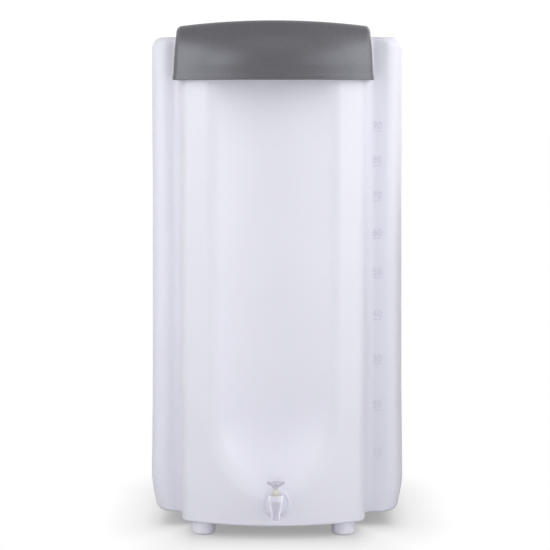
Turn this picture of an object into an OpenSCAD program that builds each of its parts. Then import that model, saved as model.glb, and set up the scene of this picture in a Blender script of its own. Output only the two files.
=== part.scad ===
// Free-standing slim water tank: a moulded one-piece shell with a bowed, scooped front,
// a hinged grey lid over the filling opening and a quarter-turn tap low on the front.
// Millimetres. +Z up, front towards -Y, origin on the floor under the middle of the whole box.

/* [Tank shell] */
// Width across the two side lobes
body_w = 426; // [410:2:440]
// Depth from the middle of the bowed front to the rear face
body_d = 410; // [395:5:430]
// Height of the top deck above the floor
deck_z = 826; // [810:2:850]
// Height of the moulded feet
foot_h = 25; // [20:1:30]
// Diameter of the moulded feet
foot_dia = 40; // [32:1:44]
// Wall thickness of the moulding
wall = 3.5; // [3:0.25:4.5]

/* [Front panel] */
// Width of the forward panel between the lobes
panel_w = 308; // [300:2:312]
// How far the lobes sit behind the middle of the front
lobe_setback = 105; // [95:1:115]
// Radius of the bowed front in plan
bow_r = 301; // [290:1:320]
// Sideways place of the panel, which leaves a wider right-hand strip for the level marks
panel_x = -5; // [-8:1:0]
// Radius of the finger scoop
scoop_r = 147; // [140:1:150]
// Depth of the scoop behind the middle of the bow
scoop_depth = 55; // [45:1:58]
// Height of the centre of the scoop's round lower end
scoop_end_z = 200; // [190:1:240]

/* [Lid] */
// Width of the lid at its lower front edge
lid_w = 332; // [330:1:335]
// Height of the lid's lower front edge
lid_low_z = 753; // [740:1:770]
// Rise of the middle of the lid above the deck
lid_rise = 25; // [24:0.5:28]
// How far the lid stands out in front of the bow
lid_overhang = 13; // [10:0.5:15]
// Thickness of the lid shell
lid_t = 3; // [2.5:0.25:3]

/* [Filling opening] */
// Width of the clear opening
mouth_w = 236; // [220:2:240]
// Depth of the clear opening
mouth_d = 186; // [170:2:190]

/* [Tap] */
// Height of the tap's inlet above the floor
tap_z = 63.5; // [60:0.5:68]
// Reach from the wall to the middle of the tap barrel
tap_reach = 31; // [29:0.5:36]
// Radius of the plug that turns in the barrel
plug_r = 5; // [4.8:0.05:5.1]
// Radial running clearance of every turning fit
run_gap = 0.05; // [0.03:0.01:0.08]

/* [Level marks] */
// Litres between two marks
litres_per_mark = 10; // [10, 20]
// Marks on the scale
mark_count = 9; // [6:1:9]

/* [Hidden] */
$fn = 96;
far = 1000;
// Corner circles stand this much proud of the flats they round, so the two cross cleanly.
weld = 0.02;

milky = [0.90, 0.90, 0.94];
lid_grey = [0.42, 0.42, 0.45];
steel = [0.75, 0.76, 0.78];
rubber_grey = [0.30, 0.30, 0.32];
tap_white = [0.86, 0.85, 0.90];
cream = [0.85, 0.84, 0.76];
handle_lilac = [0.72, 0.71, 0.77];

// Tap proportions, from the tap's own axis and the flat pad it is bolted to.
pad_proud = 1;
pad_r = 22;
barrel_r = 12.5;
barrel_top = 20;
spout_r = 7.3;
spout_len = 9;
barrel_low = 20;
tail_r = 8;
tail_len = 26;
tail_gap = 0.5;
washer_t = 2;
flange_t = 3;
nut_t = 8;
pad_depth = pad_proud + wall + 1;

// The whole box runs from the front of the tap barrel to the rear face, and is centred on the origin.
tap_front = pad_proud + tap_reach + barrel_r;
rear_y = (body_d + tap_front) / 2;
front_y = rear_y - body_d;
lobe_y = front_y + lobe_setback;
bow_y = front_y + bow_r;
pad_y = front_y - pad_proud;

lobe_front_r = 30;
rear_corner_r = 45;
lobe_foot_r = 22;
lobe_top_r = 20;
panel_corner_r = 14;
panel_foot_r = 7;
// The top of the bowed front slopes back under the lid, starting this far below the deck.
brow = 11;
rear_edge_r = 18;
foot_x = 116;
foot_edge_r = 6;
foot_front_y = front_y + 62;
foot_rear_y = rear_y - 52;

rear_scoop_r = 350;
rear_scoop_depth = 12;
rear_scoop_low = 180;
rear_scoop_high = 690;

// Filling opening, with a raised rim and a seal pushed over the rim.
rim_h = 8;
rim_t = 4;
mouth_r = 36;
mouth_y = front_y + 190;
seal_t = 2;
seal_grip = 5;
seal_top = deck_z + rim_h + seal_t;
breather_w = 12;

// Lid.
lid_r = bow_r + lid_overhang;
lid_dome_r = 1500;
lid_draft = 3.2;
lid_corner_r = 8;
lid_break_z = lid_low_z + 52;
lid_top_z = deck_z + lid_rise;
lid_slope = 30;
lid_rear_y = front_y + 320;
lid_gap = 2.5;
lid_skirt_back = lobe_y - 4;
lid_lip_h = 8;
lid_lip_t = 0.8;

// Hinge. The rod's axis runs along X behind the lid.
hinge_y = lid_rear_y + 8;
hinge_z = deck_z + 12;
rod_r = 2.5;
rod_len = 236;
knuckle_r = 5.5;
lid_knuckle_x = 70;
lid_knuckle_w = 40;
bracket_knuckle_x = 105;
bracket_knuckle_w = 20;
bracket_w = 236;
bracket_front = hinge_y - 4;
bracket_back = hinge_y + 32;
bracket_t = 4;
bolt_x = 75;
bolt_y = hinge_y + 22;
bolt_r = 2.5;
bolt_gap = 0.15;
bolt_len = 18;
// The stop rib meets the lid's top when the lid is 105 degrees open.
stop_w = 70;
stop_front = hinge_y + 15.8;
stop_t = 3;
stop_top = hinge_z + 8;

// Level marks, from the tank's area in plan less its walls and corners. The scale counts what the
// tap can draw off, so it starts near the tap's inlet, and its marks draw together towards the top.
lobe_area = (body_w - 2 * wall) * (body_d - lobe_setback - 2 * wall);
panel_area = (panel_w - 2 * wall) * (lobe_setback - 22);
scoop_area = 0.67 * 2 * 99 * 42;
mark_step = litres_per_mark * 1e6 / (lobe_area + panel_area - scoop_area);
mark_first = tap_z + mark_step - 15;
mark_bulge = 28;
mark_x = panel_w / 2 + panel_x + 13;
mark_w = 14;
mark_t = 1.6;
mark_proud = 0.8;

// ---- plane outlines -------------------------------------------------------------------

// A rectangle whose low corners and high corners have their own radii.
module round_rect(x0, x1, y0, y1, r_low, r_high) {
    polygon([[x0 + r_low, y0], [x1 - r_low, y0], [x1, y0 + r_low], [x1, y1 - r_high],
             [x1 - r_high, y1], [x0 + r_high, y1], [x0, y1 - r_high], [x0, y0 + r_low]]);
    for (x = [x0 + r_low, x1 - r_low]) translate([x, y0 + r_low]) circle(r_low + weld);
    for (x = [x0 + r_high, x1 - r_high]) translate([x, y1 - r_high]) circle(r_high + weld);
}

// Height of the centre of a corner circle of radius r that touches both a side leaning in by
// `draft` from half-width w and a cap of radius cap whose top is at height h.
function corner_height(w, h, cap, r, draft) =
    let (t = tan(draft), a = w - r / cos(draft), b = cap - h, s = cap - r,
         k = b - a * t, q = 1 + t * t)
    (-k + sqrt(k * k - q * (a * a + b * b - s * s))) / q;

// An outline with a flat base, drafted sides, rounded shoulders and an arched top at height h.
module arched_outline(w, h, cap, r, draft = 0) {
    cz = corner_height(w, h, cap, r, draft);
    cx = w - cz * tan(draft) - r / cos(draft);
    k = cap / (cap - r);
    tx = cx * k;
    tz = (h - cap) + (cz - h + cap) * k;
    sx = cx + r * cos(draft);
    sz = cz + r * sin(draft);
    polygon([[-w, 0], [w, 0], [sx, sz], [tx, tz], [-tx, tz], [-sx, sz]]);
    for (x = [-cx, cx]) translate([x, cz]) circle(r + weld);
    intersection() {
        translate([0, h - cap]) circle(cap, $fn = 720);
        translate([-tx, tz - 1]) square([2 * tx, h]);
    }
}

// ---- solids shared by the outside and the cavity, drawn smaller by `inset` ----------------

module along_y(y0, y1) translate([0, y1, 0]) rotate([90, 0, 0]) linear_extrude(y1 - y0) children();
module along_x(x0, x1) translate([x0, 0, 0]) rotate([90, 0, 90]) linear_extrude(x1 - x0) children();

module lobes_block(inset) {
    x = body_w / 2 - inset;
    low = foot_h + inset;
    high = deck_z - inset;
    intersection() {
        translate([0, 0, low]) linear_extrude(high - low)
            round_rect(-x, x, lobe_y + inset, rear_y - inset, lobe_front_r - inset, rear_corner_r - inset);
        along_y(lobe_y - 1, rear_y + 1)
            round_rect(-x, x, low, high, lobe_foot_r - inset, lobe_top_r - inset);
        along_x(-far / 2, far / 2) union() {
            round_rect(front_y, rear_y - inset, low, high, rear_edge_r - inset, rear_edge_r - inset);
            translate([front_y, low]) square([lobe_setback + 40, high - low]);
        }
    }
}

module panel_block(inset) {
    w = panel_w / 2 - inset;
    low = foot_h + inset;
    high = deck_z - inset;
    reach = lobe_setback + 20 - inset;
    translate([panel_x, 0, 0]) intersection() {
        translate([0, front_y + inset + reach, low]) rotate([0, 0, 180]) linear_extrude(high - low)
            arched_outline(w, reach, bow_r - inset, panel_corner_r - inset);
        along_y(front_y - 1, lobe_y + 30)
            round_rect(-w, w, low, high, panel_foot_r - inset, 6 - inset / 2);
        translate([0, bow_y, 0])
            cylinder(r1 = bow_r - brow + deck_z - inset * sqrt(2), r2 = bow_r - brow - inset * sqrt(2),
                     h = deck_z, $fn = 720);
    }
}

// A round-ended upright cylinder; `top` is the height of its upper end's centre.
module capsule(r, low, top) {
    translate([0, 0, low]) rotate_extrude($fn = 180) intersection() {
        union() {
            circle(r, $fn = 180);
            square([r, top - low]);
            translate([0, top - low]) circle(r, $fn = 180);
        }
        translate([0, -r]) square([r, top - low + 2 * r]);
    }
}

module scoops(inset) {
    translate([panel_x, front_y + scoop_depth - scoop_r, 0])
        capsule(scoop_r + inset, scoop_end_z, deck_z + scoop_r);
    translate([0, rear_y - rear_scoop_depth + rear_scoop_r, 0])
        capsule(rear_scoop_r + inset, rear_scoop_low, rear_scoop_high);
}

// Half section of a foot with its lower edge rounded to radius e.
module foot_profile(r, e) {
    polygon([[0, 0], [r - e, 0], [r, e], [r, foot_h + 2 * wall], [0, foot_h + 2 * wall]]);
    translate([r - e, e]) circle(e + weld / 2);
}

module feet(inset) {
    for (x = [-foot_x, foot_x], y = [foot_front_y, foot_rear_y])
        translate([panel_x + x, y, inset]) rotate_extrude() foot_profile(foot_dia / 2 - inset, foot_edge_r - inset);
}

module mouth_outline(grow) {
    w = mouth_w / 2 + grow;
    d = mouth_d / 2 + grow;
    translate([panel_x, mouth_y]) round_rect(-w, w, -d, d, mouth_r + grow, mouth_r + grow);
}

// ---- tank --------------------------------------------------------------------------------

module tank_shell() color(milky) {
    difference() {
        union() {
            difference() {
                union() {
                    lobes_block(0);
                    panel_block(0);
                }
                scoops(0);
            }
            feet(0);
            translate([0, 0, deck_z - wall]) linear_extrude(wall + rim_h) mouth_outline(rim_t);
            tap_pad(pad_y);
            level_marks();
        }
        difference() {
            union() {
                difference() {
                    union() {
                        lobes_block(wall);
                        panel_block(wall);
                    }
                    scoops(wall);
                }
                feet(wall);
            }
            tap_pad(front_y + 1);
        }
        translate([0, 0, deck_z - 2 * wall]) linear_extrude(2 * wall + rim_h + 1) mouth_outline(0);
        translate([panel_x - breather_w / 2, mouth_y + mouth_d / 2 - 1, deck_z + 3])
            cube([breather_w, rim_t + 2, rim_h]);
        translate([0, pad_y - 1, tap_z]) rotate([-90, 0, 0]) cylinder(r = tail_r + tail_gap, h = 4 * wall);
        for (x = [-bolt_x, bolt_x]) translate([panel_x + x, bolt_y, deck_z - 2 * wall])
            cylinder(r = bolt_r + bolt_gap, h = 4 * wall);
    }
}

// A flat, thickened round where the tap is bolted through the wall.
module tap_pad(y0) {
    translate([0, y0, tap_z]) rotate([-90, 0, 0]) cylinder(r = pad_r, h = front_y + wall + 1 - y0);
}

function mark_height(i) =
    mark_first + i * mark_step + mark_bulge * sin(180 * i / (mark_count - 1));

module level_marks() {
    for (i = [0 : mark_count - 1])
        translate([mark_x, lobe_y - mark_proud, mark_height(i)])
            cube([mark_w, mark_proud + wall / 2, mark_t]);
}

module mouth_seal() color(rubber_grey) {
    difference() {
        translate([0, 0, seal_top - seal_t - seal_grip]) linear_extrude(seal_t + seal_grip)
            mouth_outline(rim_t + seal_t);
        translate([0, 0, seal_top - seal_t - seal_grip - 1]) linear_extrude(seal_grip + 1)
            mouth_outline(rim_t);
        translate([0, 0, deck_z]) linear_extrude(rim_h + seal_t + 1) mouth_outline(0);
        translate([panel_x - breather_w / 2, mouth_y + mouth_d / 2 - 1, deck_z + 2])
            cube([breather_w, rim_t + seal_t + 2, rim_h + seal_t]);
    }
}

// ---- lid ---------------------------------------------------------------------------------

module lid_front_outline(inset) {
    translate([0, lid_low_z])
        arched_outline(lid_w / 2 - inset / cos(lid_draft), lid_top_z - lid_low_z - inset,
                       lid_dome_r - inset, lid_corner_r - inset, lid_draft);
}

module lid_block(inset) {
    r = lid_r - inset;
    bow_h = lid_break_z - lid_low_z;
    translate([panel_x, 0, 0]) intersection() {
        along_y(front_y - 2 * lid_overhang, lid_rear_y - inset) lid_front_outline(inset);
        translate([0, bow_y, lid_low_z - 1]) rotate_extrude($fn = 720)
            polygon([[0, 0], [r, 0], [r, bow_h + 1], [r - lid_slope, bow_h + 50], [0, bow_h + 50]]);
    }
}

// The thickened lip round the lower edge of the skirt.
module lid_lip() {
    translate([panel_x, 0, lid_low_z]) intersection() {
        along_y(front_y - 2 * lid_overhang, lid_skirt_back)
            translate([-lid_w / 2 - lid_lip_t, 0]) square([lid_w + 2 * lid_lip_t, lid_lip_h]);
        translate([0, bow_y, 0]) cylinder(r = lid_r + lid_lip_t, h = lid_lip_h, $fn = 720);
    }
}

module lid_shell() color(lid_grey) {
    difference() {
        union() {
            lid_block(0);
            lid_lip();
        }
        difference() {
            lid_block(lid_t);
            lid_press_rib();
        }
        translate([-far / 2, lid_skirt_back, lid_low_z - 1])
            cube([far, far, deck_z + lid_gap - lid_low_z + 1]);
        translate([panel_x - lid_w / 2, lid_rear_y - lid_t - 1, lid_low_z])
            cube([lid_w, lid_t + 2, hinge_z - knuckle_r - lid_low_z]);
    }
    for (x = [-lid_knuckle_x, lid_knuckle_x]) translate([panel_x + x - lid_knuckle_w / 2, 0, 0])
        difference() {
            union() {
                translate([0, hinge_y, hinge_z]) rotate([0, 90, 0])
                    cylinder(r = knuckle_r, h = lid_knuckle_w);
                translate([0, lid_rear_y - 1, hinge_z - knuckle_r + 0.5])
                    cube([lid_knuckle_w, hinge_y - lid_rear_y + 1, 2 * knuckle_r - 1]);
            }
            translate([-1, hinge_y, hinge_z]) rotate([0, 90, 0])
                cylinder(r = rod_r + run_gap, h = lid_knuckle_w + 2);
        }
}

// The ring under the lid that comes down on the seal.
module lid_press_rib() {
    translate([0, 0, seal_top + 0.2]) linear_extrude(lid_rise) difference() {
        mouth_outline(rim_t);
        mouth_outline(1);
    }
}

// ---- hinge hardware ------------------------------------------------------------------------

module hinge_bracket() color(lid_grey) {
    difference() {
        union() {
            translate([panel_x - bracket_w / 2, bracket_front, deck_z])
                cube([bracket_w, bracket_back - bracket_front, bracket_t]);
            for (x = [-bracket_knuckle_x, 0, bracket_knuckle_x])
                translate([panel_x + x - bracket_knuckle_w / 2, 0, 0]) {
                    translate([0, hinge_y, hinge_z]) rotate([0, 90, 0])
                        cylinder(r = knuckle_r, h = bracket_knuckle_w);
                    translate([0, bracket_front, deck_z + bracket_t - 1])
                        cube([bracket_knuckle_w, 4 + knuckle_r, hinge_z - deck_z - bracket_t + 1]);
                }
            translate([panel_x - stop_w / 2, stop_front, deck_z])
                cube([stop_w, stop_t, stop_top - deck_z]);
        }
        translate([panel_x - far / 2, hinge_y, hinge_z]) rotate([0, 90, 0]) cylinder(r = rod_r + run_gap, h = far);
        for (x = [-bolt_x, bolt_x]) translate([panel_x + x, bolt_y, deck_z - 1])
            cylinder(r = bolt_r + bolt_gap, h = bracket_t + 2);
    }
}

module hinge_rod() color(steel) {
    groove = [rod_len / 2 - 3, rod_len / 2 - 1.8];
    translate([panel_x, hinge_y, hinge_z]) rotate([0, 90, 0]) rotate_extrude() polygon([
        [0, -rod_len / 2], [rod_r - 0.4, -rod_len / 2], [rod_r, -rod_len / 2 + 0.4],
        [rod_r, -groove[1]], [rod_r - 0.6, -groove[1]], [rod_r - 0.6, -groove[0]], [rod_r, -groove[0]],
        [rod_r, groove[0]], [rod_r - 0.6, groove[0]], [rod_r - 0.6, groove[1]], [rod_r, groove[1]],
        [rod_r, rod_len / 2 - 0.4], [rod_r - 0.4, rod_len / 2], [0, rod_len / 2]]);
}

module rod_clips() color(steel) {
    for (s = [-1, 1]) translate([panel_x + s * (rod_len / 2 - 2.4), hinge_y, hinge_z]) rotate([0, 90, 0])
        difference() {
            cylinder(r = 4.5, h = 1, center = true);
            cylinder(r = rod_r - 0.6 + run_gap, h = 2, center = true);
            translate([0, -1.4, -1]) cube([6, 2.8, 2]);
        }
}

module at_bolts(z) for (x = [-bolt_x, bolt_x]) translate([panel_x + x, bolt_y, z]) children();

module bracket_bolts() color(steel) {
    head_z = deck_z + bracket_t;
    at_bolts(head_z) difference() {
        union() {
            translate([0, 0, -bolt_len]) cylinder(r = bolt_r, h = bolt_len + 1);
            intersection() {
                cylinder(r = 4.75, h = 3);
                translate([0, 0, -4]) sphere(r = 7.2);
            }
        }
        translate([0, 0, 1.2]) for (a = [0, 90]) rotate([0, 0, a]) cube([5, 1.1, 4], center = true);
    }
}

module bracket_washers() color(rubber_grey)
    at_bolts(deck_z - wall - 1.5) difference() {
        cylinder(r = 7, h = 1.5);
        translate([0, 0, -1]) cylinder(r = bolt_r + bolt_gap, h = 4);
    }

module bracket_nuts() color(steel)
    at_bolts(deck_z - wall - 1.5 - 4) difference() {
        cylinder(r = 4.62, h = 4, $fn = 6);
        translate([0, 0, -1]) cylinder(r = bolt_r + run_gap, h = 6);
    }

// ---- tap -----------------------------------------------------------------------------------

// Places a shape drawn about the tap's vertical axis, with z = 0 at the inlet.
module at_tap() translate([0, pad_y - tap_reach, tap_z]) children();
// Places a shape drawn along the tail, with z = 0 on the pad and +z going into the tank.
module at_tail() translate([0, pad_y, tap_z]) rotate([-90, 0, 0]) children();

module tap_body() color(tap_white) {
    bore = plug_r + run_gap;
    difference() {
        union() {
            at_tap() rotate_extrude() polygon([
                [0, -barrel_low], [spout_r, -barrel_low], [spout_r, -barrel_low + spout_len],
                [9.4, -4], [barrel_r - 0.4, 9], [barrel_r, 10], [barrel_r, barrel_top - 1],
                [barrel_r - 1, barrel_top], [0, barrel_top]]);
            at_tail() {
                translate([0, 0, -tap_reach]) cylinder(r = 7.5, h = tap_reach - washer_t);
                translate([0, 0, -washer_t - flange_t]) cylinder(r = 17, h = flange_t);
                translate([0, 0, -washer_t]) cylinder(r = tail_r, h = tail_len + washer_t);
            }
        }
        at_tap() {
            translate([0, 0, -9]) cylinder(r = bore, h = 40);
            translate([0, 0, 13]) cylinder(r = 9, h = 20);
            translate([0, 0, -barrel_low - 1]) cylinder(r = 4, h = 20);
        }
        at_tail() translate([0, 0, -tap_reach]) cylinder(r = 3.5, h = tap_reach + tail_len + 1);
    }
}

module tap_outer_washer() color(rubber_grey) at_tail() translate([0, 0, -washer_t]) difference() {
    cylinder(r = 19, h = washer_t);
    translate([0, 0, -1]) cylinder(r = tail_r + run_gap, h = washer_t + 2);
}

module tap_inner_washer() color(rubber_grey) at_tail() translate([0, 0, pad_depth]) difference() {
    cylinder(r = 15, h = washer_t);
    translate([0, 0, -1]) cylinder(r = tail_r + run_gap, h = washer_t + 2);
}

module tap_backnut() color(tap_white) at_tail() translate([0, 0, pad_depth + washer_t]) difference() {
    union() {
        cylinder(r = 14, h = nut_t, $fn = 6);
        cylinder(r = 14.5, h = 2);
    }
    translate([0, 0, -1]) cylinder(r = tail_r + run_gap, h = nut_t + 2);
}

module tap_collar() color(cream) at_tap() rotate_extrude() difference() {
    union() {
        translate([0, 13]) square([8.9, barrel_top - 13]);
        translate([0, barrel_top]) square([4, 3]);
        intersection() {
            translate([0, 25]) circle(5.8);
            translate([0, 21.2]) square([7, 9]);
        }
    }
    translate([-10, 0]) square([13 + run_gap, 40]);
}

module tap_plug() color(tap_white) at_tap() difference() {
    rotate_extrude() polygon([
        [0, -8.8], [plug_r, -8.8], [plug_r, -7.2], [plug_r - 1.2, -7.2], [plug_r - 1.2, -5.2], [plug_r, -5.2],
        [plug_r, 6], [plug_r - 1.2, 6], [plug_r - 1.2, 8], [plug_r, 8], [plug_r, 12.8], [3, 12.8],
        [3, 37.6], [0, 37.6]]);
    translate([0, 0, -10]) cylinder(r = 2.6, h = 10);
    rotate([0, 90, 0]) cylinder(r = 2.6, h = 10);
    translate([0, 0, 30]) cylinder(r = 1.25, h = 10);
    for (a = [0, 90, 180, 270]) rotate([0, 0, a]) translate([2.3, -5, 30.6]) cube([5, 10, 10]);
}

module plug_o_rings() color(rubber_grey) at_tap() for (z = [-6.2, 7])
    translate([0, 0, z]) rotate_extrude() translate([plug_r - 0.35, 0]) intersection() {
        circle(0.9, $fn = 32);
        translate([-0.84, -1]) square([1.17, 2]);
    }

module tap_handle() color(handle_lilac) at_tap() difference() {
    union() {
        translate([0, 0, 30.8]) cylinder(r1 = 4.6, r2 = 6, h = 7.7);
        translate([0, 0, 38.5]) cylinder(r1 = 6, r2 = 4.6, h = 3.5);
        translate([0, 2, 0]) rotate([90, 0, 0]) linear_extrude(4) handle_wings();
        for (x = [-12, 12]) translate([x, 2.6, 39.7]) rotate([90, 0, 0]) cylinder(r = 2.7, h = 5.2);
        translate([0, 0, 35.5]) rotate([90, 0, 0]) cylinder(r = 4.4, h = 7.4);
    }
    translate([0, -6.4, 35.5]) rotate([90, 0, 0]) cylinder(r = 2.2, h = 2);
    translate([-2.35, -2.35, 30]) cube([4.7, 4.7, 7.8]);
    translate([0, 0, 37]) cylinder(r = 1.35, h = 10);
    translate([0, 0, 40.2]) cylinder(r = 2.7, h = 10);
}

// Outline of the two wings, seen from the front.
module handle_wings() polygon([[-12, 42.2], [-14.2, 38.2], [-5, 32.5], [5, 32.5],
                               [14.2, 38.2], [12, 42.2], [6, 41], [-6, 41]]);

module handle_screw() color(steel) at_tap() difference() {
    union() {
        translate([0, 0, 31]) cylinder(r = 1.2, h = 9.6);
        translate([0, 0, 40.2]) cylinder(r = 2.5, h = 1.6);
    }
    translate([-3, -0.3, 41.2]) cube([6, 0.6, 1]);
}

// ---- parts -----------------------------------------------------------------------------------

tank_shell();
mouth_seal();
lid_shell();
hinge_bracket();
hinge_rod();
rod_clips();
bracket_bolts();
bracket_washers();
bracket_nuts();
tap_body();
tap_outer_washer();
tap_inner_washer();
tap_backnut();
tap_collar();
tap_plug();
plug_o_rings();
tap_handle();
handle_screw();
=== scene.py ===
"""A slim free-standing water tank with a hinged grey lid and a small dispenser tap."""

import math

import bpy
import numpy as np
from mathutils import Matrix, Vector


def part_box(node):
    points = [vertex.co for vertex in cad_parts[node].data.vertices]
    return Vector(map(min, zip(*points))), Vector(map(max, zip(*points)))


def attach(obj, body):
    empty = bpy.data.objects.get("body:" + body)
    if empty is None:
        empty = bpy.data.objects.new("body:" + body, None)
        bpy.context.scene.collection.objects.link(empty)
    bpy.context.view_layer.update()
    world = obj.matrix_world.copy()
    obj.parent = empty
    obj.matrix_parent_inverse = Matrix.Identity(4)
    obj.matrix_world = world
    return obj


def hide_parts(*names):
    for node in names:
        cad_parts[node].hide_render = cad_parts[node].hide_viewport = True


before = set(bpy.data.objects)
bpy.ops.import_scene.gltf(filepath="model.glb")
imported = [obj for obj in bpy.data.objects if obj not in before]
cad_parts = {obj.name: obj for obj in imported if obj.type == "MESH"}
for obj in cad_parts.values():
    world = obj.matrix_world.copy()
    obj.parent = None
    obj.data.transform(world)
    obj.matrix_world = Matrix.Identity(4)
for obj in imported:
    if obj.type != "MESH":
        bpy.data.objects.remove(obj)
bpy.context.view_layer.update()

import openvdb
from mathutils import Matrix, Vector

MM = 0.001


# ---- sizes, in millimetres of the row frame -------------------------------------------
def corners(node):
    """A CAD node's lowest and highest corner, to a quarter of a millimetre."""
    return [[round(4 * value / MM) / 4 for value in corner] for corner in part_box(node)]


(_, PAD_Y, _), (HALF_W, REAR_Y, RIM_TOP) = corners("tank_shell")
(_, _, LID_LOW), (_, _, LID_TOP) = corners("lid_shell")
WALL, FOOT_H, DECK_Z = 3.5, 25.0, RIM_TOP - 8.0
FRONT_Y = PAD_Y + 1.0
LOBE_Y = FRONT_Y + 105.0
LOBE_FRONT_R, REAR_CORNER_R, VALLEY_R = 30.0, 45.0, 18.0
PANEL_X, PANEL_HW, PANEL_CORNER_R = -5.0, 154.0, 14.0
BOW_R = 301.0
BOW_Y = FRONT_Y + BOW_R
# The lobes draw in by WAIST at mid-height and by TUCK at the foot, and the panel by TAPER at its foot.
WAIST, WAIST_FROM, WAIST_TO = 1.6, (60.0, 260.0), (560.0, 760.0)
TUCK, TUCK_LOW, TUCK_HIGH = 9.0, 20.0, 85.0
TAPER, TAPER_LOW, TAPER_HIGH = 2.5, 40.0, 320.0
SCOOP_R, SCOOP_DEPTH, SCOOP_Z, SCOOP_EDGE_R = 147.0, 55.0, 200.0, 14.0
RECESS_R, RECESS_DEPTH, RECESS_LOW, RECESS_HIGH = 350.0, 12.0, 180.0, 690.0  # the rear face's scoop
FEET = [(PANEL_X + sx * 116.0, y) for sx in (-1, 1) for y in (FRONT_Y + 62, REAR_Y - 52)]
FOOT_R, FOOT_DRAFT, FOOT_BORE_R, FOOT_TOP = 19.9, 0.04, 15.8, 60.0
MOUTH_Y, MOUTH_HW, MOUTH_HD, MOUTH_R = FRONT_Y + 190.0, 118.0, 93.0, 36.0
RIM_T, RIM_LOW = 4.0, DECK_Z - 11.0
PAD_R, TAP_Z, TAP_HOLE_R = 22.0, 63.5, 8.5
TAP_Y = PAD_Y - 31.0
LID_T, LID_HW, LID_R, LID_DOME = 3.0, 166.0, 314.0, 1500.0
LID_DRAFT = math.radians(3.2)
LID_LIP, LID_LIP_TOP = 0.7, LID_LOW + 9.0
BROW_Z, BROW_SLOPE = 805.0, math.atan2(30.0, 49.0)
LID_REAR, HINGE_Z = FRONT_Y + 320.0, DECK_Z + 12.0
HINGE_Y = LID_REAR + 8.0
KNUCKLE_R, KNUCKLE_BORE_R, WEB_HALF, WEB_REACH = 5.5, 2.56, 5.0, 9.0
# The tap and its handle, from the barrel's axis and TAP_Z. The profile's pairs are (height, radius).
BARREL_H = 20.0
BARREL_PROFILE = ((-20.0, 7.3), (-11.0, 7.3), (-4.0, 9.4), (9.0, 12.0), (10.0, 12.45), (20.0, 12.45))
BARREL_GROOVES = ((14.8, 0.5, 0.7), (11.8, 0.35, 0.6))  # height, depth and width
PIPE_R, PIPE_END = 7.5, 30.0
FLANGE_R, FLANGE_FRONT, FLANGE_BACK = 17.0, 26.0, 29.0
TAIL_R, TAIL_START, TAIL_END = 8.0, 28.0, 57.0
PLUG_BORE_R, COLLAR_BORE_R, SPOUT_BORE_R, PIPE_BORE_R = 5.05, 9.0, 4.0, 3.5
STEM_R, STEM_SWELL, STEM_Z, STEM_HALF = 4.5, 1.4, 36.5, 5.5
ARM_ROOT, ARM_TIP, ARM_RADII = (2.0, 36.0), (11.9, 39.7), (3.6, 2.5)
BOSS_R, BOSS_Z, BOSS_FRONT = 4.2, 35.6, 7.2
DIMPLE_R, DIMPLE_FLOOR = 2.3, 6.3
SOCKET_HALF, SOCKET_TOP = 2.38, 37.8
SCREW_R, SCREW_HEAD_R, SCREW_HEAD_Z = 1.4, 2.75, 40.2


# ---- distance fields ------------------------------------------------------------------
def step(value, low, high):
    """0 below low, 1 above high, and smooth between."""
    t = np.clip((value - low) / (high - low), 0.0, 1.0)
    return t * t * (3.0 - 2.0 * t)


def cut(a, b, r):
    """What is inside both a and b, its edge rounded to radius r."""
    return np.minimum(np.maximum(a, b), -r) + np.hypot(np.maximum(a + r, 0), np.maximum(b + r, 0))


def join(a, b, r):
    """What is inside a or b, with a fillet of radius r where they meet."""
    return np.maximum(np.minimum(a, b), r) - np.hypot(np.maximum(r - a, 0), np.maximum(r - b, 0))


def rect(u, v, hu, v0, v1, r0, r1):
    """A rectangle of half-width hu from v0 to v1, its corners rounded to r0 at v0 and r1 at v1."""
    mid = (v0 + v1) / 2
    r = np.where(v < mid, r0, r1)
    qu = np.abs(u) - hu + r
    qv = np.abs(v - mid) - (v1 - v0) / 2 + r
    return np.minimum(np.maximum(qu, qv), 0) + np.hypot(np.maximum(qu, 0), np.maximum(qv, 0)) - r


def capsule(x, y, z, r, low, high):
    """An upright round-ended bar about the origin of x and y."""
    return np.sqrt(x * x + y * y + (z - np.clip(z, low, high)) ** 2) - r


def tank_body(x, y, z):
    """The outside of the moulding without feet, rim and tap pad."""
    px = x - PANEL_X
    waist = WAIST * step(z, *WAIST_FROM) * (1 - step(z, *WAIST_TO))
    tuck = TUCK * step(-z, -TUCK_HIGH, -TUCK_LOW)
    lobes = rect(x, y, HALF_W - waist - tuck, LOBE_Y, REAR_Y, LOBE_FRONT_R, REAR_CORNER_R)
    bow = np.hypot(px, y - BOW_Y) - BOW_R
    panel_hw = PANEL_HW - TAPER * step(-z, -TAPER_HIGH, -TAPER_LOW)
    panel = cut(cut(bow, np.abs(px) - panel_hw, PANEL_CORNER_R), y - 60.0, 1.0)
    plan = join(lobes, panel, VALLEY_R)
    side = step(np.abs(x), 170.0, 212.0)
    rear = step(y, REAR_Y - 60, REAR_Y - 10) * (1 - side)
    nose = step(-y, 85.0, 100.0)
    # The foot's and the deck's edges are rounder on the sides and at the rear, and the deck's on the nose too.
    low = cut(plan, FOOT_H - z, 4.0 + 9.0 * side + 10.0 * rear)
    body = cut(low, z - DECK_Z, 8.0 + 12.0 * side + 8.0 * nose + 5.0 * rear)
    scoop = capsule(px, y - (FRONT_Y + SCOOP_DEPTH - SCOOP_R), z, SCOOP_R, SCOOP_Z, 2000.0)
    recess = capsule(x, y - (REAR_Y - RECESS_DEPTH + RECESS_R), z, RECESS_R, RECESS_LOW, RECESS_HIGH)
    return cut(cut(body, -scoop, SCOOP_EDGE_R), -recess, SCOOP_EDGE_R)


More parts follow.
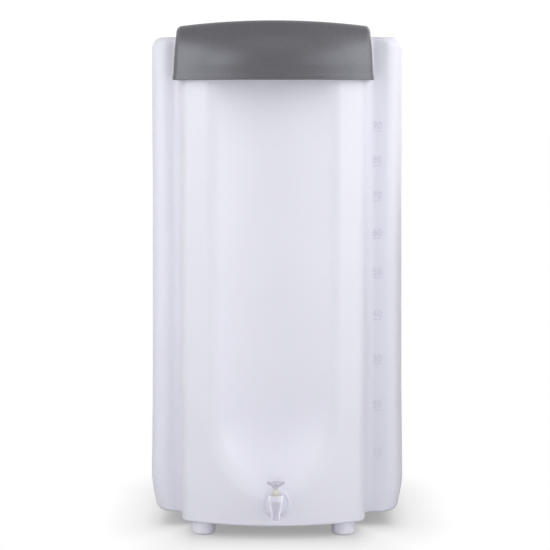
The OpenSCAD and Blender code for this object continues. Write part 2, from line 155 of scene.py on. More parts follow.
def mouth(x, y):
    """The filling mouth's outline."""
    return rect(x - PANEL_X, y, MOUTH_HW, MOUTH_Y - MOUTH_HD, MOUTH_Y + MOUTH_HD, MOUTH_R, MOUTH_R)


def tank_field(x, y, z):
    """The hollow moulding: its outside, less the inside, the breather notch and the tap's hole."""
    body = tank_body(x, y, z)
    outer = body
    inner = body + WALL
    for fx, fy in FEET:
        d = np.hypot(x - fx, y - fy)
        leg = d - FOOT_R + FOOT_DRAFT * np.maximum(FOOT_H - z, 0)
        outer = join(outer, cut(cut(leg, -z, 6.0), z - FOOT_TOP, 1.0), 3.0)
        inner = np.minimum(inner, cut(cut(d - FOOT_BORE_R, WALL - z, 2.5), z - FOOT_TOP, 1.0))
    pad = np.maximum(np.hypot(x, z - TAP_Z) - PAD_R, np.maximum(PAD_Y - y, y - FRONT_Y - 8))
    outer = join(outer, pad, 4.0)
    hole = mouth(x, y)
    rim = cut(np.maximum(hole - RIM_T, RIM_LOW - z), z - RIM_TOP, 1.5)
    outer = join(outer, rim, 3.0)
    inner = join(inner, np.maximum(hole, RIM_LOW - z), 1.5)
    notch = np.maximum(np.abs(x - PANEL_X) - 6.0, np.maximum(RIM_TOP - 5.0 - z, MOUTH_Y - y))
    tail = np.maximum(np.hypot(x, z - TAP_Z) - TAP_HOLE_R, y + 150.0)
    return np.maximum(cut(outer, -np.minimum(inner, notch), 0.7), -tail)


def lid_outer(x, y, z):
    """The outside of the lid, without its lower edge and rear cut-away."""
    px = x - PANEL_X
    sides = (np.abs(px) - LID_HW + (z - LID_LOW) * math.tan(LID_DRAFT)) * math.cos(LID_DRAFT)
    dome = np.hypot(px, z - (LID_TOP - LID_DOME)) - LID_DOME
    rho = np.hypot(px, y - BOW_Y)
    lip = LID_LIP * step(-z, -LID_LIP_TOP, 1.5 - LID_LIP_TOP)
    bow = rho - LID_R - lip
    brow = (rho - LID_R + (z - BROW_Z) * math.tan(BROW_SLOPE)) * math.cos(BROW_SLOPE)
    front = cut(bow, brow, 16.0)
    top = cut(dome, y - LID_REAR, 5.0)
    top = cut(top, front, 9.0)
    return cut(top, sides - lip, 8.0)


def lid_field(x, y, z):
    """The lid's thin cap. It hangs down in front of the lobes and stays above the deck behind that."""
    outer = lid_outer(x, y, z)
    shell = cut(outer, -(outer + LID_T), 0.8)
    hang = np.maximum(y - (LOBE_Y - 4.0), LID_LOW - z)
    shell = cut(shell, np.minimum(hang, DECK_Z + 2.5 - z), 0.8)
    return np.maximum(shell, np.minimum(y - (LID_REAR - 4.0), DECK_Z + 6.5 - z))


def bar(u, v, u0, v0, u1, v1, r0, r1):
    """A straight bar from (u0, v0) to (u1, v1) whose radius goes from r0 to r1."""
    du, dv = u1 - u0, v1 - v0
    t = np.clip(((u - u0) * du + (v - v0) * dv) / (du * du + dv * dv), 0.0, 1.0)
    return np.hypot(u - u0 - t * du, v - v0 - t * dv) - (r0 + (r1 - r0) * t)


def handle_field(x, y, z):
    """The winged handle: stem, two arms and a dimpled boss, less a square socket and a screw's well."""
    y = y - TAP_Y
    z = z - TAP_Z
    r = np.hypot(x, y)
    stem_r = STEM_R + STEM_SWELL * step(z, 31.0, 37.0) - STEM_SWELL * step(z, 38.5, 42.0)
    stem = cut(r - stem_r, np.abs(z - STEM_Z) - STEM_HALF, 0.8)
    arm = bar(np.abs(x), z, *ARM_ROOT, *ARM_TIP, *ARM_RADII)
    arm = cut(arm, np.abs(y) - 1.6 - 0.09 * np.abs(x), 1.3)
    boss = cut(np.hypot(x, z - BOSS_Z) - BOSS_R, np.maximum(-BOSS_FRONT - y, y), 0.7)
    dimple = np.maximum(np.hypot(x, z - BOSS_Z) - DIMPLE_R, y + DIMPLE_FLOOR)
    whole = cut(join(join(stem, arm, 2.0), boss, 1.0), -dimple, 0.4)
    socket = np.maximum(np.maximum(np.abs(x), np.abs(y)) - SOCKET_HALF, z - SOCKET_TOP)
    well = np.minimum(np.maximum(r - SCREW_R, 37.0 - z), np.maximum(r - SCREW_HEAD_R, SCREW_HEAD_Z - z))
    return np.maximum(whole, -np.minimum(socket, well))


def tap_field(x, y, z):
    """The tap's moulding: barrel with spout, pipe, wall flange and tail, less its bores."""
    y = y - TAP_Y
    z = z - TAP_Z
    r = np.hypot(x, y)
    wall = np.interp(z, *zip(*BARREL_PROFILE))
    groove = sum(depth * np.exp(-((z - at) / width) ** 2) for at, depth, width in BARREL_GROOVES)
    barrel = cut((r - wall + groove) * 0.95, np.abs(z) - BARREL_H, 1.0)
    t = np.hypot(x, z)
    pipe = cut(t - PIPE_R, np.maximum(-y, y - PIPE_END), 0.5)
    flange = cut(t - FLANGE_R, np.maximum(FLANGE_FRONT - y, y - FLANGE_BACK), 0.9)
    tail = cut(t - TAIL_R + 0.35 * step(y, 31.5, 32.5), np.maximum(TAIL_START - y, y - TAIL_END), 0.6)
    outer = np.minimum(join(join(barrel, pipe, 2.5), flange, 1.2), tail)
    bores = np.minimum(np.maximum(r - PLUG_BORE_R, -9.0 - z), np.maximum(r - COLLAR_BORE_R, 13.0 - z))
    bores = np.minimum(bores, np.maximum(r - SPOUT_BORE_R, z))
    bores = np.minimum(bores, np.maximum(t - PIPE_BORE_R, -y))
    return cut(outer, -bores, 0.35)


# ---- meshing ---------------------------------------------------------------------------
def axis(*runs):
    """Grid lines: each run is (start, stop, spacing)."""
    parts = [np.linspace(a, b, max(2, int(round((b - a) / s)) + 1)) for a, b, s in runs]
    return np.unique(np.round(np.concatenate(parts), 4))


def gradient(field, p):
    """The field's slope at each point, by central differences."""
    h = 0.05
    g = np.empty_like(p)
    for i in range(3):
        d = np.zeros(3)
        d[i] = h
        hi, lo = p + d, p - d
        g[:, i] = (field(*hi.T) - field(*lo.T)) / (2 * h)
    return g


MOVE_MAX, STRAY = 1.5, 6.0  # the longest move in one round, and the total at which a point is put back


def field_mesh(name, field, xs, ys, zs, rounds=4):
    """A smooth mesh of field = 0, found on the grid xs, ys, zs and then moved onto the exact surface.

    A thin wall gets holes where it slopes through a coarse part of the grid, so a run may be coarse only
    where the wall stands along it.
    """
    values = np.empty((len(xs), len(ys), len(zs)), np.float32)
    for k, z in enumerate(zs):
        values[:, :, k] = field(xs[:, None], ys[None, :], np.full((1, 1), z))
    grid = openvdb.FloatGrid(1e4)
    grid.copyFromArray(np.ascontiguousarray(values))
    points, quads = grid.convertToQuads(isovalue=0.0)
    p = np.stack([np.interp(points[:, i], np.arange(len(a)), a) for i, a in enumerate((xs, ys, zs))], 1)
    start = p.copy()
    for _ in range(rounds):
        g = gradient(field, p)
        n2 = np.maximum((g * g).sum(1), 0.05)
        move = -(field(*p.T) / n2)[:, None] * g
        size = np.linalg.norm(move, axis=1, keepdims=True)
        p = p + move * np.minimum(1.0, MOVE_MAX / np.maximum(size, 1e-9))
    stray = np.linalg.norm(p - start, axis=1) > STRAY
    p[stray] = start[stray]
    g = gradient(field, p)
    normals = g / np.maximum(np.linalg.norm(g, axis=1, keepdims=True), 1e-9)
    a, b, c = (p[quads[:, i]] for i in range(3))
    facing = (np.cross(b - a, c - a) * normals[quads[:, 0]]).sum(1)
    if (facing < 0).mean() > 0.5:
        quads = quads[:, ::-1]
    mesh = bpy.data.meshes.new(name)
    mesh.vertices.add(len(p))
    mesh.vertices.foreach_set("co", (p * MM).astype(np.float32).ravel())
    mesh.loops.add(quads.size)
    mesh.loops.foreach_set("vertex_index", quads.astype(np.int32).ravel())
    mesh.polygons.add(len(quads))
    mesh.polygons.foreach_set("loop_start", np.arange(0, quads.size, 4, dtype=np.int32))
    mesh.polygons.foreach_set("loop_total", np.full(len(quads), 4, np.int32))
    mesh.update(calc_edges=True)
    mesh.validate()
    mesh.polygons.foreach_set("use_smooth", np.ones(len(mesh.polygons), bool))
    if len(mesh.vertices) == len(normals):
        mesh.normals_split_custom_set_from_vertices(normals.astype(np.float32).tolist())
    obj = bpy.data.objects.new(name, mesh)
    bpy.context.scene.collection.objects.link(obj)
    return obj


# ---- materials -------------------------------------------------------------------------
def plastic(name, colour, roughness, grain=0.0, grain_scale=900.0, subsurface=0.0, radius=0.01, coat=0.0):
    """Moulded plastic: fine grain in bump and roughness, and light spread radius metres under the skin."""
    mat = bpy.data.materials.new(name)
    mat.use_nodes = True
    nodes, links = mat.node_tree.nodes, mat.node_tree.links
    bsdf = nodes["Principled BSDF"]
    bsdf.inputs["Base Color"].default_value = (*colour, 1.0)
    bsdf.inputs["Roughness"].default_value = roughness
    bsdf.inputs["Coat Weight"].default_value = coat
    if subsurface:
        bsdf.inputs["Subsurface Weight"].default_value = subsurface
        bsdf.inputs["Subsurface Radius"].default_value = (1.0, 1.0, 1.0)
        bsdf.inputs["Subsurface Scale"].default_value = radius
    coords = nodes.new("ShaderNodeTexCoord")
    noise = nodes.new("ShaderNodeTexNoise")
    noise.inputs["Scale"].default_value = grain_scale
    noise.inputs["Detail"].default_value = 3.0
    links.new(coords.outputs["Object"], noise.inputs["Vector"])
    if grain:
        bump = nodes.new("ShaderNodeBump")
        bump.inputs["Strength"].default_value = grain
        bump.inputs["Distance"].default_value = 0.0004
        links.new(noise.outputs["Fac"], bump.inputs["Height"])
        links.new(bump.outputs["Normal"], bsdf.inputs["Normal"])
    spread = nodes.new("ShaderNodeMapRange")
    spread.inputs["To Min"].default_value = roughness - 0.05
    spread.inputs["To Max"].default_value = roughness + 0.05
    links.new(noise.outputs["Fac"], spread.inputs["Value"])
    links.new(spread.outputs["Result"], bsdf.inputs["Roughness"])
    return mat


def metal(name, colour, roughness):
    """Metal with a slight grain in its roughness."""
    mat = plastic(name, colour, roughness, grain_scale=500.0)
    mat.node_tree.nodes["Principled BSDF"].inputs["Metallic"].default_value = 1.0
    return mat


MILKY = plastic(
    "milky plastic", (0.80, 0.795, 0.90), 0.42, grain=0.10, grain_scale=160.0, subsurface=0.4, radius=0.012
)


def painted_height_shade_and_clouds(mat, height_shades, clouds):
    """Paints shade and light into a plastic's colour by height, from pairs of (millimetres, factor), and
    varies it by random clouds.
    """
    nodes, links = mat.node_tree.nodes, mat.node_tree.links
    base = nodes["Principled BSDF"].inputs["Base Color"]
    place = nodes.new("ShaderNodeTexCoord")
    split = nodes.new("ShaderNodeSeparateXYZ")
    links.new(place.outputs["Object"], split.inputs["Vector"])
    height = nodes.new("ShaderNodeMapRange")
    height.inputs["From Max"].default_value = DECK_Z * MM
    links.new(split.outputs["Z"], height.inputs["Value"])
    # Painted shade and light: a factor on the colour by height.
    ramp = nodes.new("ShaderNodeValToRGB")
    stops = ramp.color_ramp.elements
    while len(stops) < len(height_shades):
        stops.new(0.5)
    for stop, (z, factor) in zip(stops, height_shades):
        stop.position = z / DECK_Z
        stop.color = (factor, factor, factor, 1.0)
    links.new(height.outputs["Result"], ramp.inputs["Fac"])
    noise = nodes.new("ShaderNodeTexNoise")
    noise.inputs["Scale"].default_value = 7.0
    links.new(place.outputs["Object"], noise.inputs["Vector"])
    blotch = nodes.new("ShaderNodeMapRange")
    blotch.inputs["To Min"].default_value = 1.0 - clouds
    blotch.inputs["To Max"].default_value = 1.0 + clouds
    links.new(noise.outputs["Fac"], blotch.inputs["Value"])
    height_shaded = nodes.new("ShaderNodeVectorMath")
    height_shaded.operation = "MULTIPLY"
    height_shaded.inputs[0].default_value = base.default_value[:3]
    links.new(ramp.outputs["Color"], height_shaded.inputs[1])
    clouded = nodes.new("ShaderNodeVectorMath")
    clouded.operation = "SCALE"
    links.new(height_shaded.outputs["Vector"], clouded.inputs["Vector"])
    links.new(blotch.outputs["Result"], clouded.inputs["Scale"])
    links.new(clouded.outputs["Vector"], base)


# Painted shade and light by height: the tank is painted darker towards its foot, and the feet under it are
# painted lighter.
painted_height_shade_and_clouds(MILKY, ((20, 0.99), (28, 0.86), (140, 0.88), (360, 0.92), (700, 0.955)), clouds=0.03)
SCALE = plastic("scale marks", (0.645, 0.64, 0.725), 0.5)
LID_GREY = plastic("grey lid plastic", (0.096, 0.096, 0.106), 0.27, grain=0.10, grain_scale=1400.0)
lid_bsdf = LID_GREY.node_tree.nodes["Principled BSDF"]
lid_bsdf.inputs["Specular Tint"].default_value = (0.88, 0.88, 1.0, 1.0)
lid_bsdf.inputs["Specular IOR Level"].default_value = 0.75
BRACKET_GREY = plastic("grey bracket plastic", (0.105, 0.108, 0.120), 0.45, grain=0.12, grain_scale=1400.0)
RUBBER = plastic("dark seal rubber", (0.055, 0.055, 0.06), 0.62, grain=0.1)
STEEL = metal("stainless steel", (0.62, 0.63, 0.65), 0.28)
TAP_WHITE = plastic("white tap plastic", (0.525, 0.51, 0.61), 0.20, subsurface=0.2, radius=0.003, coat=0.3)
FLANGE_WHITE = (0.74, 0.73, 0.83, 1.0)
LIP_WHITE = (0.63, 0.62, 0.72, 1.0)
# Painted highlight colour for the tap's seen edges.
EDGE_HIGHLIGHT_WHITE = (0.80, 0.79, 0.86, 1.0)
WASHER = plastic("white washer plastic", (0.66, 0.655, 0.75), 0.6, subsurface=0.3, radius=0.004)
CREAM = plastic("cream collar plastic", (0.60, 0.585, 0.53), 0.25, subsurface=0.2, radius=0.002, coat=0.2)
HANDLE = plastic("handle plastic", (0.47, 0.46, 0.53), 0.18, subsurface=0.15, radius=0.002, coat=0.6)


def mixed(mat, factor, colour):
    """Mixes a colour into the plastic by the value of a socket."""
    nodes, links = mat.node_tree.nodes, mat.node_tree.links
    base = nodes["Principled BSDF"].inputs["Base Color"]
    mix = nodes.new("ShaderNodeMix")
    mix.data_type = "RGBA"
    if base.links:
        links.new(base.links[0].from_socket, mix.inputs["A"])
    else:
        mix.inputs["A"].default_value = base.default_value
    mix.inputs["B"].default_value = colour
    links.new(factor, mix.inputs["Factor"])
    links.new(mix.outputs["Result"], base)


def ramp_from(mat, source, low, high):
    """0 where the source is at low, 1 where it is at high."""
    ramp = mat.node_tree.nodes.new("ShaderNodeMapRange")
    ramp.interpolation_type = "SMOOTHSTEP"
    ramp.inputs["From Min"].default_value = low
    ramp.inputs["From Max"].default_value = high
    mat.node_tree.links.new(source, ramp.inputs["Value"])
    return ramp.outputs["Result"]


def painted_edge_highlight_and_bands(mat, highlight_colour, lip_colour, flange_colour):
    """Paints the tap's plastic lighter at its seen edges, as a painted highlight, and lighter at its lip and
    towards its flange.
    """
    nodes, links = mat.node_tree.nodes, mat.node_tree.links
    facing = nodes.new("ShaderNodeLayerWeight")
    facing.inputs["Blend"].default_value = 0.5
    place = nodes.new("ShaderNodeTexCoord")
    split = nodes.new("ShaderNodeSeparateXYZ")
    links.new(place.outputs["Object"], split.inputs["Vector"])
    mixed(mat, ramp_from(mat, split.outputs["Z"], (TAP_Z + 10.5) * MM, (TAP_Z + 13.0) * MM), lip_colour)
    # Painted highlight: lighter where the surface turns away from the view.
    mixed(mat, ramp_from(mat, facing.outputs["Facing"], 0.14, 0.50), highlight_colour)
    mixed(mat, ramp_from(mat, split.outputs["Y"], (TAP_Y + 12.0) * MM, (TAP_Y + 26.0) * MM), flange_colour)


painted_edge_highlight_and_bands(TAP_WHITE, EDGE_HIGHLIGHT_WHITE, LIP_WHITE, FLANGE_WHITE)


def dress(obj, mat):
    """Gives a piece its material."""
    obj.data.materials.clear()
    obj.data.materials.append(mat)


def soften(obj, width, segments=3):
    """Rounds the sharp edges of a piece to width millimetres."""
    bevel = obj.modifiers.new("soft edges", "BEVEL")
    bevel.width = width * MM
    bevel.segments = segments
    bevel.limit_method = "ANGLE"
    bevel.angle_limit = math.radians(40)
    bevel.harden_normals = True


# ---- the tank shell ----------------------------------------------------------------------
shell = field_mesh(
    "moulded_tank",
    tank_field,
    axis(
        (-217, -151, 2),
        (-151, -128, 3.5),
        (-128, -86, 2),
        (-86, 76, 3.8),
        (76, 118, 2),
        (118, 139, 3.5),
        (139, 217, 2),
    ),
    axis((-187, -45, 2), (-45, 62, 7), (62, 108, 2), (108, 150, 7), (150, 231, 2)),
    axis((-3, 130, 2), (130, 216, 5.5), (216, 684, 36), (684, 786, 5.5), (786, 838, 2)),
)
dress(shell, MILKY)
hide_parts("tank_shell")
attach(shell, "tank")


def number(text, x, z, size):
    """A raised number on the scale strip."""
    curve = bpy.data.curves.new("number", "FONT")
    curve.body = text
    curve.size = size * MM
    curve.extrude = 0.5 * MM
    curve.bevel_depth = 0.15 * MM
    curve.align_x = "CENTER"
    curve.align_y = "CENTER"
    obj = bpy.data.objects.new("number", curve)
    bpy.context.scene.collection.objects.link(obj)
    upright = Matrix.Rotation(math.pi / 2, 4, "X")
    obj.matrix_world = Matrix.Translation(Vector((x, LOBE_Y - 0.1, z)) * MM) @ upright
    return obj


def joined(name, objs):
    """One mesh from several objects, in the row frame."""
    bpy.context.view_layer.update()
    graph = bpy.context.evaluated_depsgraph_get()
    verts, faces = [], []
    for obj in objs:
        mesh = bpy.data.meshes.new_from_object(obj.evaluated_get(graph))
        base = len(verts)
        verts.extend(obj.matrix_world @ v.co for v in mesh.vertices)
        faces.extend([base + i for i in poly.vertices] for poly in mesh.polygons)
        bpy.data.objects.remove(obj)
    out = bpy.data.meshes.new(name)
    out.from_pydata(verts, [], faces)
    result = bpy.data.objects.new(name, out)
    bpy.context.scene.collection.objects.link(result)
    return result


def block(name, low, high):
    """A box from its two corners."""
    mesh = bpy.data.meshes.new(name)
    pts = [(x, y, z) for x in (low[0], high[0]) for y in (low[1], high[1]) for z in (low[2], high[2])]
    faces = [(0, 1, 3, 2), (4, 6, 7, 5), (0, 4, 5, 1), (2, 3, 7, 6), (0, 2, 6, 4), (1, 5, 7, 3)]
    mesh.from_pydata([Vector(p) * MM for p in pts], [], faces)
    obj = bpy.data.objects.new(name, mesh)
    bpy.context.scene.collection.objects.link(obj)
    return obj


# The marks get closer together towards the top, as the photo's do.
MARKS, LITRES_A_MARK = 9, 10
MARK_STEP, MARK_FIRST, MARK_BULGE = 68.65, 117.15, 28.0
MARK_X, MARK_HW, MARK_TALL, DIGIT_RISE, DIGIT_SIZE = 169, 7, 1.6, 10, 17
scale_bits = []
for i in range(MARKS):
    z = MARK_FIRST + i * MARK_STEP + MARK_BULGE * math.sin(math.pi * i / (MARKS - 1))
    low = (MARK_X - MARK_HW, LOBE_Y - 0.8, z)
    high = (MARK_X + MARK_HW, LOBE_Y + 0.5, z + MARK_TALL)
    scale_bits.append(block("bar", low, high))
    scale_bits.append(number(str(LITRES_A_MARK * (i + 1)), MARK_X, z + DIGIT_RISE, DIGIT_SIZE))
marks = joined("level_scale", scale_bits)
dress(marks, SCALE)
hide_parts("tank_shell")
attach(marks, "tank")

# ---- the lid -------------------------------------------------------------------------------
lid = field_mesh(
    "lid_cap",
    lid_field,
    axis((-176, -150, 1.5), (-150, 140, 4), (140, 166, 1.5)),
    axis((-200, -72, 1.6), (-72, 125, 6), (125, 140, 1.5)),
    axis((750, 826, 1.6), (826, 854, 1.4)),
)


def ring_solid(name, outer, inner):
    """A closed ring from two tables of points: rows are the two ends, columns run round the ring."""
    n = len(outer[0])
    verts = [Vector(p) * MM for table in (outer, inner) for row in table for p in row]
    faces = []
    for k in range(n):
        m = (k + 1) % n
        faces += [(k, m, n + m, n + k), (2 * n + m, 2 * n + k, 3 * n + k, 3 * n + m)]
        faces += [(m, k, 2 * n + k, 2 * n + m), (n + k, n + m, 3 * n + m, 3 * n + k)]
    mesh = bpy.data.meshes.new(name)
    mesh.from_pydata(verts, [], faces)
    obj = bpy.data.objects.new(name, mesh)
    bpy.context.scene.collection.objects.link(obj)
    bpy.context.view_layer.objects.active = obj
    bpy.ops.object.mode_set(mode="EDIT")
    bpy.ops.mesh.select_all(action="SELECT")
    bpy.ops.mesh.normals_make_consistent(inside=False)
    bpy.ops.object.mode_set(mode="OBJECT")
    for poly in mesh.polygons:
        poly.use_smooth = True
    soften(obj, 0.4, 2)
    return obj


def knuckle(name, x0, x1):
    """One of the lid's hinge knuckles, with its web to the lid's rear wall."""
    web_turn = math.atan2(WEB_HALF, WEB_REACH)
    web_corners = [math.pi - web_turn, math.pi + web_turn]
    even = [2 * math.pi * k / 72 for k in range(72)]
    # An even turn next to a corner of the web would leave its bevel no room.
    turns = sorted(web_corners + [a for a in even if min(abs(a - c) for c in web_corners) > 0.03])

    def reach(a):
        web = min(WEB_REACH / max(-math.cos(a), 1e-6), WEB_HALF / max(abs(math.sin(a)), 1e-6))
        return max(KNUCKLE_R, web) if math.cos(a) < 0 else KNUCKLE_R

    def loop(x, radius):
        return [(x, HINGE_Y + radius(a) * math.cos(a), HINGE_Z + radius(a) * math.sin(a)) for a in turns]

    outside = [loop(x, reach) for x in (x0, x1)]
    bore = [loop(x, lambda a: KNUCKLE_BORE_R) for x in (x0, x1)]
    return ring_solid(name, outside, bore)


RING_LOW = DECK_Z + 12.2


def press_ring():
    """The ring under the lid that comes down on the seal."""

    def loop(grow, top):
        hw, hd, r = MOUTH_HW + grow, MOUTH_HD + grow, MOUTH_R + grow
        points = []
        for quarter, (sx, sy) in enumerate(((1, 1), (-1, 1), (-1, -1), (1, -1))):
            for k in range(13):
                a = math.pi / 2 * (quarter + k / 12)
                px = sx * (hw - r) + r * math.cos(a)
                z = LID_TOP - LID_DOME + math.sqrt(LID_DOME**2 - px * px) - LID_T / 2 if top else RING_LOW
                points.append((PANEL_X + px, MOUTH_Y + sy * (hd - r) + r * math.sin(a), z))
        return points

    return ring_solid("lid_press_ring", [loop(4, False), loop(4, True)], [loop(1, False), loop(1, True)])


lid_pieces = [lid, press_ring(), knuckle("lid_knuckle_left", -95, -55), knuckle("lid_knuckle_right", 45, 85)]
for piece in lid_pieces:
    dress(piece, LID_GREY)
    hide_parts("lid_shell")
    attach(piece, "lid")

# ---- hardware and tap ----------------------------------------------------------------------
for node, mat, slot, width in (
    ("mouth_seal", RUBBER, "seal_rubber", 0.5),
    ("hinge_bracket", BRACKET_GREY, "bracket_plastic", 0.5),
    ("hinge_rod", STEEL, "steel", 0.0),
    ("rod_clips", STEEL, "steel", 0.1),
    ("bracket_bolts", STEEL, "steel", 0.1),
    ("bracket_washers", RUBBER, "seal_rubber", 0.2),
    ("bracket_nuts", STEEL, "steel", 0.2),
    ("tap_outer_washer", WASHER, "washer_plastic", 0.3),
    ("tap_inner_washer", RUBBER, "seal_rubber", 0.3),
    ("tap_backnut", TAP_WHITE, "tap_plastic", 0.4),
    ("tap_collar", CREAM, "collar_plastic", 0.3),
    ("tap_plug", TAP_WHITE, "tap_plastic", 0.1),
    ("plug_o_rings", RUBBER, "seal_rubber", 0.0),
    ("handle_screw", STEEL, "steel", 0.1),
):
    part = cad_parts[node]
    dress(part, mat)
    if width:
        soften(part, width)

body = field_mesh(
    "tap_moulding",
    tap_field,
    axis((-19, 19, 0.9)),
    axis((TAP_Y - 14, TAP_Y + 59, 0.9)),
    axis((TAP_Z - 22, TAP_Z + 22, 0.9)),
)
dress(body, TAP_WHITE)
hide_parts("tap_body")
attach(body, "tank")

grip = field_mesh(
    "wing_handle",
    handle_field,
    axis((-16, 16, 0.6)),
    axis((TAP_Y - 9, TAP_Y + 8, 0.6)),
    axis((TAP_Z + 29, TAP_Z + 44, 0.6)),
)
dress(grip, HANDLE)
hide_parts("tap_handle")
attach(grip, "tap_core")

# ---- stage ---------------------------------------------------------------------------------
scene = bpy.context.scene
scene.view_settings.view_transform = "Standard"
scene.view_settings.look = "None"


def stage_plane(name, size, matrix, mat):
    """A square of the stage, size metres a side before the matrix."""
    mesh = bpy.data.meshes.new(name)
    h = size / 2
    mesh.from_pydata([(-h, -h, 0), (h, -h, 0), (h, h, 0), (-h, h, 0)], [], [(0, 1, 2, 3)])
    mesh.materials.append(mat)
    obj = bpy.data.objects.new(name, mesh)
    scene.collection.objects.link(obj)
    obj.matrix_world = matrix
    return obj


floor_mat = bpy.data.materials.new("pale floor")
floor_mat.use_nodes = True
nt = floor_mat.node_tree
floor_bsdf = nt.nodes["Principled BSDF"]
floor_bsdf.inputs["Base Color"].default_value = (0.56, 0.56, 0.56, 1)
floor_bsdf.inputs["Roughness"].default_value = 0.75
floor_bsdf.inputs["Specular IOR Level"].default_value = 0.15
glow = nt.nodes.new("ShaderNodeEmission")
glow.inputs["Color"].default_value = (1, 1, 1, 1)
glow.inputs["Strength"].default_value = 1.0
mix = nt.nodes.new("ShaderNodeMixShader")


def vector_math(operation, source, value=None):
    """A vector node of the floor's material, with a source and a second value if it has one."""
    node = nt.nodes.new("ShaderNodeVectorMath")
    node.operation = operation
    nt.links.new(source, node.inputs[0])
    if value:
        node.inputs[1].default_value = value
    return node


def beyond(low, high, stretch):
    """Distance on the floor from a rectangle, in metres, with each axis scaled by its stretch."""
    middle = [(a + b) / 2 for a, b in zip(low, high)]
    half = [(b - a) / 2 for a, b in zip(low, high)]
    away = vector_math("SUBTRACT", geo.outputs["Position"], (*middle, 0.0))
    away = vector_math("ABSOLUTE", away.outputs["Vector"])
    away = vector_math("SUBTRACT", away.outputs["Vector"], (*half, 1.0))
    away = vector_math("MAXIMUM", away.outputs["Vector"], (0.0, 0.0, 0.0))
    away = vector_math("MULTIPLY", away.outputs["Vector"], (*stretch, 0.0))
    return vector_math("LENGTH", away.outputs["Vector"]).outputs["Value"]


# The floor glows for the camera only, more with distance from the footprint of the lobes and of the panel.
LOBES_SHADE = ((-0.18, -0.04), (0.18, 0.19), (1.0, 0.6))
PANEL_SHADE = ((-0.13, -0.115), (0.12, 0.10), (1.0, 0.4))
SHADE_REACH = 0.12
geo = nt.nodes.new("ShaderNodeNewGeometry")
near = nt.nodes.new("ShaderNodeMath")
near.operation = "MINIMUM"
nt.links.new(beyond(*LOBES_SHADE), near.inputs[0])
nt.links.new(beyond(*PANEL_SHADE), near.inputs[1])
reach = nt.nodes.new("ShaderNodeMapRange")
reach.inputs["From Max"].default_value = SHADE_REACH
nt.links.new(near.outputs["Value"], reach.inputs["Value"])
# Painted shadow: the glow's share grows with distance and is least at the footprint. This shapes the contact
# shadow over the real shade of the plain floor.
painted_shadow_fade = nt.nodes.new("ShaderNodeValToRGB")
stops = painted_shadow_fade.color_ramp.elements
stops[0].color = (0.30, 0.30, 0.30, 1.0)
for place, value in ((0.07, 0.35), (0.2, 0.58), (0.4, 0.76), (0.85, 0.95)):
    stops.new(place).color = (value, value, value, 1.0)
seen = nt.nodes.new("ShaderNodeLightPath")
share = nt.nodes.new("ShaderNodeMath")
share.operation = "MULTIPLY"
nt.links.new(reach.outputs["Result"], painted_shadow_fade.inputs["Fac"])
nt.links.new(painted_shadow_fade.outputs["Color"], share.inputs[0])
nt.links.new(seen.outputs["Is Camera Ray"], share.inputs[1])
nt.links.new(share.outputs["Value"], mix.inputs["Fac"])
nt.links.new(floor_bsdf.outputs["BSDF"], mix.inputs[1])
nt.links.new(glow.outputs["Emission"], mix.inputs[2])
nt.links.new(mix.outputs["Shader"], nt.nodes["Material Output"].inputs["Surface"])
FLOOR_SIZE = 60.0
stage_plane("floor", FLOOR_SIZE, Matrix.Identity(4), floor_mat)

world = bpy.data.worlds.new("studio")
scene.world = world
world.use_nodes = True
wt = world.node_tree
background = wt.nodes["Background"]
background.inputs["Color"].default_value = (1, 1, 1, 1)
coords = wt.nodes.new("ShaderNodeTexCoord")
split = wt.nodes.new("ShaderNodeSeparateXYZ")
wt.links.new(coords.outputs["Generated"], split.inputs["Vector"])
BACKDROP = 1.05  # what the camera sees behind the floor
# Strength of the surroundings: the same all round, plus a share for each side that fades to the next.
WORLD = {"all": 0.36, "X+": 0.35, "X-": 0.15, "Y-": 0.0, "Y+": 0.42, "Z+": 0.1}
total = wt.nodes.new("ShaderNodeValue")
total.outputs[0].default_value = WORLD["all"]
for side, sign in (("X+", 1), ("X-", -1), ("Y-", -1), ("Y+", 1), ("Z+", 1)):
    facing = wt.nodes.new("ShaderNodeMath")
    facing.operation = "MULTIPLY"
    facing.use_clamp = True
    facing.inputs[1].default_value = sign
    wt.links.new(split.outputs[side[0]], facing.inputs[0])
    added = wt.nodes.new("ShaderNodeMath")
    added.operation = "MULTIPLY_ADD"
    added.inputs[1].default_value = WORLD[side]
    wt.links.new(facing.outputs["Value"], added.inputs[0])
    wt.links.new(total.outputs[0], added.inputs[2])
    total = added
path = wt.nodes.new("ShaderNodeLightPath")
pick = wt.nodes.new("ShaderNodeMix")
pick.data_type = "FLOAT"
pick.inputs["B"].default_value = BACKDROP
wt.links.new(path.outputs["Is Camera Ray"], pick.inputs["Factor"])
wt.links.new(total.outputs[0], pick.inputs["A"])
wt.links.new(pick.outputs["Result"], background.inputs["Strength"])


LAMP_AIM_Z = 0.45


def softbox(name, azimuth, distance, z, width, tall, radiance, shine=True, light=True):
    """A large lamp facing the tank, azimuth from the front to the right. It may skip shine or plain light."""
    lamp = bpy.data.lights.new(name, "AREA")
    lamp.shape = "RECTANGLE"
    lamp.size, lamp.size_y = width, tall
    lamp.energy = radiance * math.pi * width * tall
    obj = bpy.data.objects.new(name, lamp)
    scene.collection.objects.link(obj)
    a = math.radians(azimuth)
    place = Vector((distance * math.sin(a), -distance * math.cos(a), z))
    aim = (Vector((0, 0, LAMP_AIM_Z)) - place).to_track_quat("-Z", "Y")
    obj.matrix_world = Matrix.Translation(place) @ aim.to_matrix().to_4x4()
    obj.visible_glossy = shine
    obj.visible_diffuse = light


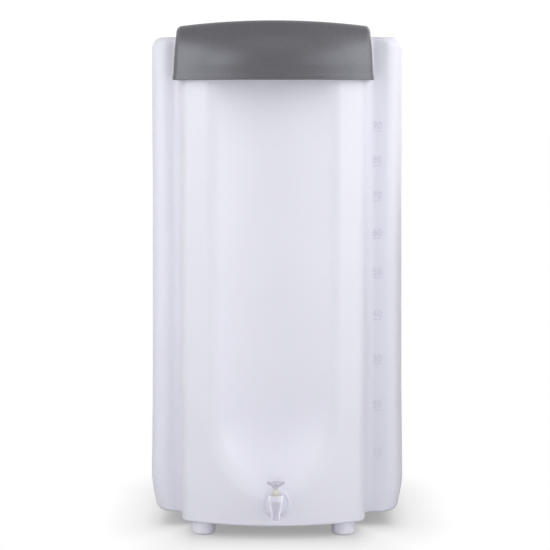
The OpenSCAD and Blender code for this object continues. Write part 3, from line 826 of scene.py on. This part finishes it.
# A dark card beside the right lobe gives its lower edge the shaded line. Other views have it under the floor.
CARD_X, CARD_Y, CARD_Z, CARD_TALL, CARD_WIDE, CARD_AWAY_Z = 0.42, -0.01, 0.34, 0.56, 0.26, -1.0
card_mat = bpy.data.materials.new("dark card")
card_mat.use_nodes = True
card_bsdf = card_mat.node_tree.nodes["Principled BSDF"]
card_bsdf.inputs["Base Color"].default_value = (0.35, 0.35, 0.35, 1)
card_bsdf.inputs["Roughness"].default_value = 1.0
card = stage_plane(
    "dark card",
    1.0,
    Matrix.Translation((CARD_X, CARD_Y, CARD_Z))
    @ Matrix.Rotation(math.radians(90), 4, "Y")
    @ Matrix.Diagonal((CARD_TALL, CARD_WIDE, 1.0, 1.0)),
    card_mat,
)
card.visible_camera = False

# Name, azimuth in degrees, distance, height, width, tall and radiance, then whether it shines and lights.
for lamp in (
    ("left softbox", -62, 2.4, 1.15, 1.0, 2.0, 2.6),
    ("right softbox", 62, 2.4, 1.15, 1.0, 2.0, 2.5),
    ("high right softbox", 60, 2.2, 2.3, 1.0, 1.0, 0.6),
    ("left edge lamp", -85, 1.8, 1.3, 0.8, 1.2, 0.9),
    ("right edge lamp", 85, 1.8, 1.3, 0.8, 1.2, 2.0),
    ("left front lamp", -32, 2.6, 1.4, 1.0, 1.2, 1.2),
    ("right front lamp", 32, 2.6, 1.4, 1.0, 1.2, 0.9),
    ("high front lamp", 0, 2.0, 2.4, 1.6, 0.8, 0.45),
    ("low front fill", 0, 3.0, 0.25, 2.2, 0.4, 8.2, False),
    ("left lid glow", -41, 2.4, 1.1, 0.95, 1.8, 1.2, True, False),
    ("right lid glow", 44, 2.4, 1.1, 0.75, 1.8, 1.3, True, False),
    ("back softbox", 145, 2.6, 1.5, 1.0, 1.6, 1.8),
):
    softbox(*lamp)

# ---- camera ----------------------------------------------------------------------------------
FOCAL, IMAGE, SENSOR = 1839.0, 550.0, 36.0  # focal length and image width in pixels, sensor in millimetres
SHIFT_RIGHT, SHIFT_UP = -2.5, -185.0  # of the lens, in pixels
DISTANCE, EYE_Z, TURN = 3.2, 736.4, math.radians(0.7)
cam = bpy.data.cameras.new("camera")
cam.sensor_width = SENSOR
cam.lens = FOCAL / IMAGE * SENSOR
camera = bpy.data.objects.new("camera", cam)
scene.collection.objects.link(camera)


def main_view_only(owner, setting, index, value, elsewhere):
    """One value while the camera keeps its Euler turn (mode 1), and another for a view by quaternion (0)."""
    curve = owner.driver_add(setting, index)
    curve.driver.type = "SUM"
    mode = curve.driver.variables.new()
    mode.targets[0].id = camera
    mode.targets[0].data_path = "rotation_mode"
    while curve.modifiers:
        curve.modifiers.remove(curve.modifiers[0])
    ramp = curve.modifiers.new("GENERATOR")
    ramp.poly_order = 1
    ramp.coefficients = (elsewhere, value - elsewhere)


main_view_only(cam, "shift_x", -1, SHIFT_RIGHT / IMAGE, 0.0)
main_view_only(cam, "shift_y", -1, SHIFT_UP / IMAGE, 0.0)
main_view_only(card, "location", 2, CARD_Z, CARD_AWAY_Z)
middle = Vector((0, (FRONT_Y + REAR_Y) / 2 * MM, EYE_Z * MM))
camera.location = middle + Vector((DISTANCE * math.sin(TURN), -DISTANCE * math.cos(TURN), 0))
camera.rotation_euler = (math.pi / 2, 0, TURN)
scene.camera = camera
